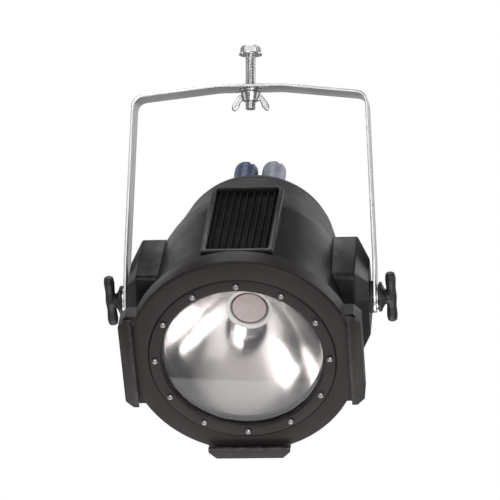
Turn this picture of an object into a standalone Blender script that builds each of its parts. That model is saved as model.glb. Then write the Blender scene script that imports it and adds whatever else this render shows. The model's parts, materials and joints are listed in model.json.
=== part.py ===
"""COB LED par can light: a die-cast lamp head tilting in a flat-bar yoke that hangs from one bolt.

Row frame: metres, +Z up, the lamp shines towards -Y. The origin is the centre of the yoke's top pad, where the
underside of a crossbar rests. The head's parts are modelled along the lamp's own axis: local +Y runs backwards
from the plane of the front ring, which is S = 0 below.
"""

import math

import bmesh
import bpy
from mathutils import Matrix, Vector

MM = 0.001
GAP = 0.3 * MM  # clearance between pieces that touch

# Pose
TILT = math.radians(42)  # the head points this far below the horizontal
PIVOT_S = 99 * MM  # pivot axis behind the front ring's face
PIVOT_DROP = 202 * MM  # pivot axis below the yoke's top pad

# Yoke, a bent flat bar
BAR_WIDTH = 30 * MM
BAR_THICK = 3 * MM
PAD_HALF = 30 * MM
SHOULDER_HALF = 111.5 * MM
SHOULDER_DROP = 9 * MM
SHOULDER_RADIUS = 12 * MM
FOOT_HALF = 118 * MM
FOOT_STRAIGHT = 32 * MM  # upright length of each arm above the pivot
YOKE_BOLT_R = 5.3 * MM
YOKE_PIVOT_R = 4.6 * MM

# Hanging bolt, M10
CROSSBAR = 30 * MM  # height of the crossbar that the bolt passes through
BOLT_R = 4.8 * MM
BOLT_HEAD_R = 9.8 * MM
BOLT_HEAD_H = 6.4 * MM
WASHER_R = 11 * MM
WASHER_T = 1.7 * MM
NUT_SPAN = 18 * MM
BOLT_END = 22 * MM

# Front ring
RING_R = 105 * MM
RING_DEPTH = 20 * MM
RETAINER_SEAT_R = 86 * MM
APERTURE_R = 74 * MM
GLASS_R = 77.2 * MM
GLASS_T = 4 * MM
SHOULDER_R = 73 * MM
SCREW_CIRCLE = 80 * MM
SCREW_COUNT = 12
LUG_FRONT = -6.5 * MM  # the accessory channels stand this far in front of the ring
LUG_BACK = 17 * MM
LUG_LIP = 2.2 * MM
LUG_LIP_DEPTH = 12 * MM
SIDE_LUG_R = 110 * MM
SIDE_LUG_HALF = 48 * MM
BOTTOM_LUG_R = 107.5 * MM
BOTTOM_LUG_HALF = 38 * MM

# Optics
REFLECTOR_MOUTH_R = 71.2 * MM
REFLECTOR_MOUTH_S = 12 * MM
REFLECTOR_BASE_R = 21.5 * MM
REFLECTOR_BASE_S = 80.7 * MM
REFLECTOR_WALL = 1.4 * MM
COB_R = 17.5 * MM

# Housing
WALL = 3 * MM
SHELL = [  # outside of the lamp's shell as (s, r) in millimetres, from the front flange to the rear opening
    (20.3, 101), (27, 101), (31, 94), (60, 93), (126, 91.6), (141, 88), (165, 81), (196, 73.6),
    (205, 70.3), (210, 67), (212, 63.6),
]
SPLIT_S = 196 * MM  # joint between main housing and rear housing
REAR_S = 212 * MM
FRAME_ENDS = (  # raised frame along the top: (s, half width, low, high)
    (24 * MM, 33 * MM, 80 * MM, 102 * MM),
    (157 * MM, 34 * MM, 69 * MM, 88.5 * MM),
)
WINDOW = (30 * MM, 151 * MM)
RIB = 5 * MM
PANEL_R = 57 * MM
PANEL_T = 3 * MM

# Pivots
BOSS_FACE = 112 * MM
FRICTION_T = 2.4 * MM
STUD_R = 3.9 * MM
KNOB_X = 120.1 * MM

ROUND = 40  # facets of the large turned parts
SMALL = 16  # facets of small round parts


# --------------------------------------------------------------------------- scene and materials


def clear_scene():
    for obj in list(bpy.data.objects):
        bpy.data.objects.remove(obj, do_unlink=True)


def material(name, colour, roughness, metallic=0.0, alpha=1.0):
    made = bpy.data.materials.new(name)
    made.use_nodes = True
    shader = made.node_tree.nodes["Principled BSDF"]
    shader.inputs["Base Color"].default_value = (*colour, 1.0)
    shader.inputs["Roughness"].default_value = roughness
    shader.inputs["Metallic"].default_value = metallic
    shader.inputs["Alpha"].default_value = alpha
    return made


def make_materials():
    return {
        "black_cast": material("black_cast", (0.02, 0.02, 0.022), 0.42, 0.3),
        "black_plastic": material("black_plastic", (0.018, 0.018, 0.02), 0.5),
        "bare_steel": material("bare_steel", (0.62, 0.62, 0.62), 0.28, 1.0),
        "yoke_silver": material("yoke_silver", (0.74, 0.74, 0.73), 0.32, 1.0),
        "mirror": material("mirror", (0.9, 0.9, 0.89), 0.08, 1.0),
        "glass": material("glass", (0.95, 0.97, 0.97), 0.02, 0.0, 0.2),
        "phosphor": material("phosphor", (0.85, 0.72, 0.32), 0.6),
        "white_plastic": material("white_plastic", (0.8, 0.8, 0.78), 0.4),
        "raw_aluminium": material("raw_aluminium", (0.55, 0.55, 0.56), 0.4, 1.0),
        "circuit_board": material("circuit_board", (0.03, 0.18, 0.08), 0.45),
        "silicone": material("silicone", (0.06, 0.06, 0.06), 0.75),
        "blue_plastic": material("blue_plastic", (0.03, 0.12, 0.5), 0.35),
        "grey_plastic": material("grey_plastic", (0.45, 0.47, 0.5), 0.4),
        "screen": material("screen", (0.02, 0.05, 0.09), 0.12),
    }


# --------------------------------------------------------------------------- shape helpers


def new_object(name, bm, look, parent=None):
    """The bmesh as a named object with outward normals, in its parent's frame."""
    bmesh.ops.remove_doubles(bm, verts=bm.verts, dist=1e-6)
    bmesh.ops.recalc_face_normals(bm, faces=bm.faces)
    mesh = bpy.data.meshes.new(name)
    bm.to_mesh(mesh)
    bm.free()
    mesh.shade_smooth()
    mesh.set_sharp_from_angle(angle=math.radians(35))
    obj = bpy.data.objects.new(name, mesh)
    bpy.context.scene.collection.objects.link(obj)
    if look is not None:
        mesh.materials.append(look)
    obj.parent = parent
    return obj


def copy_of(source, name, parent=None):
    """A second object on the same mesh, with the same modifiers."""
    obj = source.copy()
    obj.name = name
    bpy.context.scene.collection.objects.link(obj)
    obj.parent = parent
    return obj


def empty(name, parent=None, location=(0, 0, 0), rotation=(0, 0, 0)):
    obj = bpy.data.objects.new(name, None)
    bpy.context.scene.collection.objects.link(obj)
    obj.parent = parent
    obj.location = location
    obj.rotation_euler = rotation
    return obj


def turned_bmesh(profile, axis="Y", facets=ROUND):
    """Spins (along, radius) points about the axis. An outline off the axis closes on itself."""
    directions = {"X": Vector((1, 0, 0)), "Y": Vector((0, 1, 0)), "Z": Vector((0, 0, 1))}
    along = directions[axis]
    outward = directions["Z" if axis == "Y" else "Y"]
    bm = bmesh.new()
    points = [bm.verts.new(along * a + outward * r) for a, r in profile]
    pairs = list(zip(points, points[1:]))
    if profile[0][1] > 0 or profile[-1][1] > 0:
        pairs.append((points[-1], points[0]))
    lines = [bm.edges.new(pair) for pair in pairs]
    bmesh.ops.spin(
        bm,
        geom=points + lines,
        cent=(0, 0, 0),
        axis=along,
        angle=2 * math.pi,
        steps=facets,
        use_merge=True,
    )
    return bm


def turned(name, profile, look, parent=None, axis="Y", facets=ROUND):
    return new_object(name, turned_bmesh(profile, axis, facets), look, parent)


def prism_bmesh(outline, start, end, axis="Y"):
    """A flat outline carried along an axis. Points are (x, z) for Y, (y, z) for X and (x, y) for Z."""
    place = {
        "X": lambda a, b, d: (d, a, b),
        "Y": lambda a, b, d: (a, d, b),
        "Z": lambda a, b, d: (a, b, d),
    }[axis]
    bm = bmesh.new()
    face = bm.faces.new([bm.verts.new(place(a, b, start)) for a, b in outline])
    made = bmesh.ops.extrude_face_region(bm, geom=[face])
    moved = [item for item in made["geom"] if isinstance(item, bmesh.types.BMVert)]
    bmesh.ops.translate(bm, verts=moved, vec=Vector(place(0, 0, end - start)))
    return bm


def prism(name, outline, start, end, look, parent=None, axis="Y"):
    return new_object(name, prism_bmesh(outline, start, end, axis), look, parent)


def add_bmesh(target, source, matrix=None):
    """Puts a copy of source into target and frees source."""
    if matrix is not None:
        source.transform(matrix)
    helper = bpy.data.meshes.new("helper")
    source.to_mesh(helper)
    source.free()
    target.from_mesh(helper)
    bpy.data.meshes.remove(helper)


def rectangle(half_a, half_b, centre=(0, 0)):
    a, b = centre
    return [(a - half_a, b - half_b), (a + half_a, b - half_b), (a + half_a, b + half_b), (a - half_a, b + half_b)]


def circle(radius, facets=SMALL, centre=(0, 0), turn=0.0):
    step = 2 * math.pi / facets
    return [
        (centre[0] + radius * math.cos(turn + i * step), centre[1] + radius * math.sin(turn + i * step))
        for i in range(facets)
    ]


def rounded_rectangle(half_a, half_b, radius, centre=(0, 0), arc=4):
    points = []
    for quarter, (sa, sb) in enumerate([(1, 1), (-1, 1), (-1, -1), (1, -1)]):
        ca, cb = centre[0] + sa * (half_a - radius), centre[1] + sb * (half_b - radius)
        for i in range(arc + 1):
            angle = (quarter + i / arc) * math.pi / 2
            points.append((ca + radius * math.cos(angle), cb + radius * math.sin(angle)))
    return points


def combine(obj, helper, operation):
    """A Boolean of obj with a helper object, which stays in the scene as a hidden guide."""
    helper.hide_render = True
    helper.display_type = "WIRE"
    modifier = obj.modifiers.new(operation.lower(), "BOOLEAN")
    modifier.operation = operation
    modifier.object = helper
    modifier.solver = "EXACT"
    return modifier


def cut(obj, bm):
    return combine(obj, new_object(obj.name + "_cutter", bm, None, obj.parent), "DIFFERENCE")


def join(obj, bm):
    return combine(obj, new_object(obj.name + "_addition", bm, None, obj.parent), "UNION")


# --------------------------------------------------------------------------- hanging bolt and yoke


def build_hanger(looks, row):
    steel = looks["bare_steel"]
    head_low = CROSSBAR + WASHER_T + 2 * GAP
    bolt = prism("hanger_bolt", circle(BOLT_HEAD_R, 6), head_low, head_low + BOLT_HEAD_H, steel, row, "Z")
    shank = [(-BOLT_END, 0), (-BOLT_END, BOLT_R - 1 * MM), (1 * MM - BOLT_END, BOLT_R), (head_low + MM, BOLT_R)]
    join(bolt, turned_bmesh(shank + [(head_low + MM, 0)], "Z", SMALL))
    top = [(0, BOLT_R + 0.4 * MM), (0, WASHER_R), (WASHER_T, WASHER_R), (WASHER_T, BOLT_R + 0.4 * MM)]
    upper = turned("hanger_washer_top", top, steel, row, "Z", SMALL)
    upper.location.z = CROSSBAR + GAP
    lower = turned("hanger_washer", top, steel, row, "Z", SMALL)
    lower.location.z = -BAR_THICK - GAP - WASHER_T
    build_wing_nut(steel, row, -BAR_THICK - 2 * GAP - WASHER_T)


def build_wing_nut(look, row, top):
    bore = BOLT_R + 0.4 * MM
    hub = [(0, bore), (-9 * MM, bore), (-9 * MM, 7 * MM), (-1 * MM, 9 * MM), (0, 9 * MM)]
    nut = turned("wing_nut", hub, look, row, "Z", SMALL)
    nut.location.z = top
    wings = bmesh.new()
    for side in (-1, 1):
        wing = [
            (side * 6.2 * MM, -1.5 * MM),
            (side * 10 * MM, -3 * MM),
            (side * 15 * MM, -9 * MM),
            (side * NUT_SPAN, -13 * MM),
            (side * (NUT_SPAN - 0.5 * MM), -17.5 * MM),
            (side * 14.5 * MM, -18.5 * MM),
            (side * 11 * MM, -15 * MM),
            (side * 8.5 * MM, -8.5 * MM),
            (side * 6.2 * MM, -8.5 * MM),
        ]
        add_bmesh(wings, prism_bmesh(wing, -1.4 * MM, 1.4 * MM, "Y"))
    addition = new_object("wing_nut_addition", wings, None, row)
    addition.location.z = top
    combine(nut, addition, "UNION")


def yoke_stations():
    """Half of the bar's outer outline, from the pad's edge to the rounded foot, as (x, z, half width)."""
    foot_top = -PIVOT_DROP + FOOT_STRAIGHT
    corner = Vector((SHOULDER_HALF, -SHOULDER_DROP))
    slope = (corner - Vector((PAD_HALF, 0))).normalized()
    arm = (Vector((FOOT_HALF, foot_top)) - corner).normalized()
    half = BAR_WIDTH / 2
    stations = [(PAD_HALF, 0, half)]
    steps = 6
    for i in range(steps + 1):
        t = i / steps
        early = corner - slope * SHOULDER_RADIUS * (1 - t)
        late = corner + arm * SHOULDER_RADIUS * t
        point = early.lerp(late, t)
        stations.append((point.x, point.y, half))
    stations.append((FOOT_HALF, foot_top, half))
    for degrees in (4, 22, 40, 56, 70, 82):
        turn = math.radians(degrees)
        stations.append((FOOT_HALF, -PIVOT_DROP - half * math.sin(turn), half * math.cos(turn)))
    return stations


def offset_inward(points, distance):
    """The polyline moved to its right-hand side, with mitred corners."""
    moved = []
    for i, point in enumerate(points):
        before = (point - points[i - 1]).normalized() if i else None
        after = (points[i + 1] - point).normalized() if i + 1 < len(points) else None
        directions = [d for d in (before, after) if d is not None]
        normals = [Vector((d.y, -d.x)) for d in directions]
        mitre = sum(normals, Vector((0, 0))).normalized()
        moved.append(point + mitre * (distance / mitre.dot(normals[0])))
    return moved


def build_yoke(looks, yoke_frame):
    """A flat bar lofted from foot to foot, then drilled for the bolt and the pivots."""
    right = yoke_stations()
    stations = [(-x, z, half) for x, z, half in reversed(right)] + right
    outer = [Vector((x, z)) for x, z, _ in stations]
    inner = offset_inward(outer, BAR_THICK)
    bm = bmesh.new()
    rings = []
    for high, low, (_, _, half) in zip(outer, inner, stations):
        corners = ((high, -half), (high, half), (low, half), (low, -half))
        rings.append([bm.verts.new((point.x, y, point.y)) for point, y in corners])
    for first, last in zip(rings, rings[1:]):
        for i in range(4):
            j = (i + 1) % 4
            bm.faces.new((first[i], first[j], last[j], last[i]))
    bm.faces.new(rings[0])
    bm.faces.new(rings[-1])
    yoke = new_object("yoke", bm, looks["yoke_silver"], yoke_frame)
    cut(yoke, turned_bmesh([(-6 * MM, 0), (-6 * MM, YOKE_BOLT_R), (MM, YOKE_BOLT_R), (MM, 0)], "Z", SMALL))
    bores = bmesh.new()
    for side in (-1, 1):
        low, high = sorted((side * (FOOT_HALF - 2 * BAR_THICK), side * (FOOT_HALF + MM)))
        bore = prism_bmesh(circle(YOKE_PIVOT_R, SMALL, (0, -PIVOT_DROP), 0.1), low, high, "X")
        add_bmesh(bores, bore)
    combine(yoke, new_object("yoke_bores", bores, None, yoke_frame), "DIFFERENCE")


# --------------------------------------------------------------------------- pivots and knobs


def build_pivots(looks, head):
    boss_outline = [
        (-34 * MM, -47 * MM), (34 * MM, -47 * MM), (41 * MM, -22 * MM), (41 * MM, 22 * MM),
        (34 * MM, 47 * MM), (-34 * MM, 47 * MM), (-41 * MM, 22 * MM), (-41 * MM, -22 * MM),
    ]
    for side, turn in (("right", 0.0), ("left", math.pi)):
        frame = empty(f"pivot_{side}", head, rotation=(0, 0, turn))
        build_boss(f"pivot_boss_{side}", boss_outline, looks, frame)
        friction = [
            (BOSS_FACE + GAP, STUD_R + 0.7 * MM), (BOSS_FACE + GAP, 15 * MM),
            (BOSS_FACE + GAP + FRICTION_T, 15 * MM), (BOSS_FACE + GAP + FRICTION_T, STUD_R + 0.7 * MM),
        ]
        turned(f"friction_washer_{side}", friction, looks["silicone"], frame, "X", SMALL)
        low = FOOT_HALF + GAP
        steel = [(low, 4.5 * MM), (low, 12 * MM), (low + 1.5 * MM, 12 * MM), (low + 1.5 * MM, 4.5 * MM)]
        turned(f"knob_washer_{side}", steel, looks["bare_steel"], frame, "X", SMALL)
        build_knob(f"knob_{side}", looks, frame)
        stud = [(95 * MM, 0), (95 * MM, STUD_R - 0.8 * MM), (96 * MM, STUD_R), (125 * MM, STUD_R), (125 * MM, 0)]
        turned(f"knob_stud_{side}", stud, looks["bare_steel"], frame, "X", SMALL)


def build_boss(name, outline, looks, frame):
    """A cast boss: a straight foot that sits on the round housing, then a taper to the clamping face."""
    taper = 0.62
    levels = [(72 * MM, 1.0), (101 * MM, 1.0), (BOSS_FACE, taper)]
    bm = bmesh.new()
    rings = [[bm.verts.new((x, y * k, z * k)) for y, z in outline] for x, k in levels]
    count = len(outline)
    for low, high in zip(rings, rings[1:]):
        for i in range(count):
            bm.faces.new((low[i], low[(i + 1) % count], high[(i + 1) % count], high[i]))
    bm.faces.new(rings[0])
    bm.faces.new(rings[-1])
    boss = new_object(name, bm, looks["black_cast"], frame)
    half = 44 * MM
    sense = -1 if frame.rotation_euler.z > 1 else 1
    shell = [(sense * (s - PIVOT_S), r + GAP) for s, r in shell_section(PIVOT_S - half, PIVOT_S + half)]
    cutter = turned_bmesh([(shell[0][0], 0)] + shell + [(shell[-1][0], 0)])
    bore = [(93.5 * MM, 0), (93.5 * MM, STUD_R + GAP), (BOSS_FACE + MM, STUD_R + GAP), (BOSS_FACE + MM, 0)]
    cut(boss, cutter)
    hole = new_object(name + "_bore", turned_bmesh(bore, "X", SMALL), None, frame)
    combine(boss, hole, "DIFFERENCE")


def build_knob(name, looks, frame):
    """T-handled clamping knob, turned about X: flange, waist, and a cross bar along Z."""
    x = KNOB_X
    hub = [
        (x, STUD_R + GAP), (x, 14 * MM), (x + 2.5 * MM, 14 * MM), (x + 3.5 * MM, 11 * MM), (x + 5.5 * MM, 7.6 * MM),
        (x + 8 * MM, 6 * MM), (x + 11 * MM, 5.5 * MM), (x + 11 * MM, 0),
        (x + 5.6 * MM, 0), (x + 5.6 * MM, STUD_R + GAP),
    ]
    knob = turned(name, hub, looks["black_plastic"], frame, "X", SMALL)
    bar = [
        (-26 * MM, 0), (-26 * MM, 3.5 * MM), (-24.5 * MM, 5 * MM), (-10 * MM, 4.6 * MM), (0, 5.2 * MM),
        (10 * MM, 4.6 * MM), (24.5 * MM, 5 * MM), (26 * MM, 3.5 * MM), (26 * MM, 0),
    ]
    handle = turned_bmesh(bar, "Z", 12)
    handle.transform(Matrix.Translation((x + 11.5 * MM, 0, 0)))
    join(knob, handle)


# --------------------------------------------------------------------------- front ring and glass


def screw_places():
    step = 2 * math.pi / SCREW_COUNT
    return [(SCREW_CIRCLE * math.sin(i * step), SCREW_CIRCLE * math.cos(i * step)) for i in range(SCREW_COUNT)]


def screw_holes(start, end, radius):
    bm = bmesh.new()
    for x, z in screw_places():
        add_bmesh(bm, prism_bmesh(circle(radius, 8, (x, z)), start, end))
    return bm


def build_front(looks, lamp):
    cast = looks["black_cast"]
    ring = [
        (0, RETAINER_SEAT_R), (0, RING_R - 2 * MM), (2 * MM, RING_R), (RING_DEPTH, RING_R),
        (RING_DEPTH, 92 * MM), (14 * MM, 92 * MM), (14 * MM, SHOULDER_R), (9.7 * MM, SHOULDER_R),
        (9.7 * MM, GLASS_R + GAP), (3.3 * MM, GLASS_R + GAP), (3.3 * MM, RETAINER_SEAT_R),
    ]
    bezel = turned("front_bezel", ring, cast, lamp)
    cut(bezel, screw_holes(2 * MM, 12.5 * MM, 1.8 * MM))
    for name, reach, half, turn in (
        ("left", SIDE_LUG_R, SIDE_LUG_HALF, -math.pi / 2),
        ("right", SIDE_LUG_R, SIDE_LUG_HALF, math.pi / 2),
        ("bottom", BOTTOM_LUG_R, BOTTOM_LUG_HALF, math.pi),
    ):
        combine(bezel, build_lug(name, reach, half, turn, lamp), "UNION")

    retainer_profile = [
        (-1 * MM, APERTURE_R + 1.5 * MM), (-1 * MM, RETAINER_SEAT_R - 1.3 * MM), (0, RETAINER_SEAT_R - GAP),
        (3 * MM, RETAINER_SEAT_R - GAP), (3 * MM, APERTURE_R), (0.5 * MM, APERTURE_R),
    ]
    retainer = turned("glass_retainer", retainer_profile, cast, lamp)
    cut(retainer, screw_holes(-3 * MM, 5 * MM, 1.8 * MM))

    head = [
        (11.5 * MM, 0), (11.5 * MM, 1.5 * MM), (-1.3 * MM, 1.5 * MM), (-1.3 * MM, 2.8 * MM),
        (-2.3 * MM, 2.6 * MM), (-3.1 * MM, 1.6 * MM), (-3.3 * MM, 0),
    ]
    source = turned("screw_source", head, looks["bare_steel"], None, "Y", 8)
    for number, (x, z) in enumerate(screw_places(), 1):
        screw = copy_of(source, f"retainer_screw_{number:02d}", lamp)
        screw.location = (x, 0, z)
    bpy.data.objects.remove(source)

    glass_low = 3.3 * MM
    disc = [(glass_low, 0), (glass_low, GLASS_R), (glass_low + GLASS_T, GLASS_R), (glass_low + GLASS_T, 0)]
    turned("lens_glass", disc, looks["glass"], lamp)
    low, high = glass_low + GLASS_T + GAP, 9.4 * MM
    gasket = [(low, SHOULDER_R + GAP), (low, GLASS_R), (high, GLASS_R), (high, SHOULDER_R + GAP)]
    turned("lens_gasket", gasket, looks["silicone"], lamp)


def build_lug(name, reach, half, turn, lamp):
    """A cast lug whose front edge is a straight channel for an accessory frame."""
    lip = LUG_FRONT + LUG_LIP
    section = [
        (LUG_BACK, 60 * MM), (LUG_BACK, reach), (LUG_FRONT, reach), (LUG_FRONT, reach - LUG_LIP_DEPTH),
        (lip, reach - LUG_LIP_DEPTH), (lip, RING_R + 0.4 * MM), (0.4 * MM, RING_R + 0.4 * MM), (0.4 * MM, 60 * MM),
    ]
    lug = prism(f"lug_{name}", section, -half, half, None, lamp, "X")
    lug.rotation_euler.y = turn
    bore = [(0, 0), (0, 97 * MM), (LUG_BACK + MM, 97 * MM), (LUG_BACK + MM, 0)]
    combine(lug, new_object(f"lug_{name}_bore", turned_bmesh(bore), None, lamp), "DIFFERENCE")
    bevel = 7 * MM
    corners = bmesh.new()
    for side in (-1, 1):
        wedge = [
            (side * (half - bevel), reach + MM), (side * (half + MM), reach + MM),
            (side * (half + MM), reach - bevel),
        ]
        add_bmesh(corners, prism_bmesh(wedge, LUG_FRONT - MM, LUG_BACK + MM))
    trim = new_object(f"lug_{name}_trim", corners, None, lamp)
    trim.rotation_euler.y = turn
    combine(lug, trim, "DIFFERENCE")
    return lug


# --------------------------------------------------------------------------- optics and cooling


def reflector_r(s):
    """Inside radius of the parabolic bowl."""
    slope = (REFLECTOR_MOUTH_R**2 - REFLECTOR_BASE_R**2) / (REFLECTOR_BASE_S - REFLECTOR_MOUTH_S)
    return math.sqrt(REFLECTOR_BASE_R**2 + slope * (REFLECTOR_BASE_S - s))


def build_optics(looks, lamp):
    steps = 5
    depth = REFLECTOR_BASE_S - REFLECTOR_MOUTH_S
    places = [REFLECTOR_MOUTH_S + depth * i / steps for i in range(steps + 1)]
    inside = [(s, reflector_r(s)) for s in places]
    flange = [(14.3 * MM, 88 * MM), (15.8 * MM, 88 * MM)]
    outside = [(s, reflector_r(s) + REFLECTOR_WALL) for s in places if s > 18 * MM]
    collar = [(places[0], REFLECTOR_MOUTH_R + REFLECTOR_WALL), (14.3 * MM, REFLECTOR_MOUTH_R + REFLECTOR_WALL)]
    profile = inside + outside[::-1] + flange[::-1] + collar[::-1]
    turned("reflector", profile, looks["mirror"], lamp)

    top = 83.1 * MM
    turned(
        "cob_phosphor", [(top, 0), (top, COB_R), (top + 0.8 * MM, COB_R), (top + 0.8 * MM, 0)],
        looks["phosphor"], lamp, facets=24,
    )
    low = top + 0.8 * MM + GAP
    prism("cob_substrate", rectangle(19 * MM, 19 * MM), low, low + 1.5 * MM, looks["raw_aluminium"], lamp)
    holder = [
        (81 * MM, COB_R + 1 * MM), (81 * MM, 24 * MM), (low - GAP, 24 * MM), (low - GAP, COB_R + GAP),
        (82.6 * MM, COB_R + GAP),
    ]
    turned("cob_holder", holder, looks["white_plastic"], lamp, facets=24)
    build_heat_sink(looks, lamp, low + 1.5 * MM + GAP)
    build_fan(looks, lamp)


def build_heat_sink(looks, lamp, face):
    fins, core, reach, half = 20, 18 * MM, 64 * MM, 1 * MM
    star = []
    for i in range(fins):
        angle = 2 * math.pi * i / fins
        for radius, offset in ((core, -half), (reach, -half), (reach, half), (core, half)):
            turn = angle + math.asin(offset / radius)
            star.append((radius * math.cos(turn), radius * math.sin(turn)))
    sink = prism("heat_sink", star, face + 5 * MM, 146 * MM, looks["raw_aluminium"], lamp)
    base = [(face, 0), (face, 64.5 * MM), (face + 7 * MM, 64.5 * MM), (face + 7 * MM, 0)]
    join(sink, turned_bmesh(base))


def build_fan(looks, lamp):
    front, depth, half = 146.3 * MM, 20 * MM, 40 * MM
    frame = prism(
        "fan_frame", rounded_rectangle(half, half, 5 * MM), front, front + depth, looks["black_plastic"], lamp
    )
    cut(frame, prism_bmesh(circle(38 * MM, 32), front - MM, front + depth + MM))
    rear = front + depth
    for turn in (math.pi / 4, -math.pi / 4):
        bar = prism_bmesh(rectangle(39 * MM, 2 * MM), rear - 2.4 * MM, rear - 0.3 * MM)
        bar.transform(Matrix.Rotation(turn, 4, "Y"))
        join(frame, bar)
    join(frame, prism_bmesh(circle(14 * MM, 16, turn=0.1), rear - 2.6 * MM, rear - 0.2 * MM))
    low, high = front + 2.5 * MM, rear - 3.5 * MM
    hub = [(low, 0), (low, 13 * MM), (low + 2 * MM, 15 * MM), (high, 15 * MM), (high, 0)]
    rotor = turned("fan_rotor", hub, looks["black_plastic"], lamp, facets=24)
    blades = bmesh.new()
    for i in range(7):
        blade = prism_bmesh(rectangle(1 * MM, 8 * MM), 13 * MM, 36.5 * MM, "Z")
        lean = Matrix.Rotation(math.radians(38), 4, "Z")
        place = Matrix.Translation((0, (low + high) / 2, 0)) @ Matrix.Rotation(2 * math.pi * i / 7, 4, "Y")
        add_bmesh(blades, blade, place @ lean)
    join(rotor, blades)


# --------------------------------------------------------------------------- housing


def shell_r(s):
    """Outside radius of the shell at s."""
    for (s0, r0), (s1, r1) in zip(SHELL, SHELL[1:]):
        if s0 * MM <= s <= s1 * MM:
            return (r0 + (r1 - r0) * (s / MM - s0) / (s1 - s0)) * MM
    return SHELL[-1][1] * MM


def shell_section(first, last):
    """Outside points of the shell between two places."""
    between = [(s * MM, r * MM) for s, r in SHELL if first + MM / 2 < s * MM < last - MM / 2]
    return [(first, shell_r(first))] + between + [(last, shell_r(last))]


def build_housing(looks, lamp):
    cast = looks["black_cast"]
    outside = shell_section(20.3 * MM, SPLIT_S)
    inside = [(s, r - WALL) for s, r in outside if s > 32 * MM]
    housing = turned("main_housing", outside + inside[::-1] + [(20.3 * MM, 90 * MM)], cast, lamp)
    frame = frame_box(0, 0)
    join(housing, frame)
    cut(housing, frame_box(RIB, 15 * MM))
    cut(housing, vent_slots())
    build_fin_panel(cast, lamp)
    build_rear(looks, lamp)


def frame_at(s):
    """Half width, low and high of the raised frame at s."""
    (s0, *first), (s1, *last) = FRAME_ENDS
    share = (s - s0) / (s1 - s0)
    return [a + (b - a) * share for a, b in zip(first, last)]


def frame_box(inset, deeper):
    """The raised frame's solid, or with an inset the opening inside its ribs."""
    bm = bmesh.new()
    places = WINDOW if inset else (FRAME_ENDS[0][0], FRAME_ENDS[1][0])
    ends = []
    for s in places:
        half, low, high = frame_at(s)
        half, low, high = half - inset, low - deeper, high + deeper
        ends.append([bm.verts.new(p) for p in ((-half, s, low), (half, s, low), (half, s, high), (-half, s, high))])
    first, last = ends
    bm.faces.new(first)
    bm.faces.new(last)
    for i in range(4):
        j = (i + 1) % 4
        bm.faces.new((first[i], first[j], last[j], last[i]))
    return bm


def vent_slots():
    """Cooling slots in the underside of the rear cone."""
    bm = bmesh.new()
    for turn in (-24, -12, 0, 12, 24):
        slot = prism_bmesh(rounded_rectangle(1.8 * MM, 14 * MM, 1.7 * MM, (0, 166 * MM)), -95 * MM, -60 * MM, "Z")
        add_bmesh(bm, slot, Matrix.Rotation(math.radians(turn), 4, "Y"))
    return bm


def build_fin_panel(look, lamp):
    """A cast insert with fins along the lamp, filling the framed window."""
    fins, share = 9, 0.3
    loops = []
    bm = bmesh.new()
    for s in (WINDOW[0] + GAP, WINDOW[1] - GAP):
        half, low, high = frame_at(s)
        half, low, high = half - RIB - GAP, high - 9 * MM, high - 2 * MM
        floor = low + 4 * MM
        pitch = 2 * half / fins
        comb = [(-half, low), (half, low), (half, floor)]
        for i in reversed(range(fins)):
            centre = -half + pitch * (i + 0.5)
            edge = pitch * share / 2
            comb += [(centre + edge, floor), (centre + edge, high), (centre - edge, high), (centre - edge, floor)]
        comb.append((-half, floor))
        loops.append([bm.verts.new((x, s, z)) for x, z in comb])
    first, last = loops
    bm.faces.new(first)
    bm.faces.new(last)
    for i in range(len(first)):
        j = (i + 1) % len(first)
        bm.faces.new((first[i], first[j], last[j], last[i]))
    new_object("top_fin_panel", bm, look, lamp)


def build_rear(looks, lamp):
    cast = looks["black_cast"]
    outside = shell_section(SPLIT_S + GAP, REAR_S)
    inside = [(s, r - WALL) for s, r in outside if s < 204 * MM] + [(206 * MM, 61 * MM), (206 * MM, 54 * MM)]
    ledge = REAR_S - PANEL_T - GAP
    lip = [(REAR_S, PANEL_R + GAP), (ledge, PANEL_R + GAP), (ledge, 54 * MM)]
    turned("rear_housing", outside + lip + inside[::-1], cast, lamp)
    build_panel(looks, lamp)
    prism(
        "power_supply", rounded_rectangle(42 * MM, 29 * MM, 3 * MM), 170 * MM, 194 * MM, looks["raw_aluminium"], lamp
    )
    prism(
        "control_board", rectangle(32 * MM, 17 * MM, (0, -18 * MM)), 200 * MM, 201.6 * MM,
        looks["circuit_board"], lamp,
    )


CONNECTORS = {  # name: (x, z, outside length, look)
    "power_inlet": (-13.5 * MM, 40.5 * MM, 48 * MM, "blue_plastic"),
    "power_outlet": (13.5 * MM, 40.5 * MM, 48 * MM, "grey_plastic"),
    "dmx_inlet": (-14 * MM, 13.5 * MM, 5 * MM, "black_plastic"),
    "dmx_outlet": (14 * MM, 13.5 * MM, 5 * MM, "black_plastic"),
}
BUTTON_X = (-18 * MM, -6 * MM, 6 * MM, 18 * MM)
BUTTON_Z = -28 * MM
DISPLAY_Z = -9.5 * MM
EYELET = (0, -45 * MM)


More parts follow.
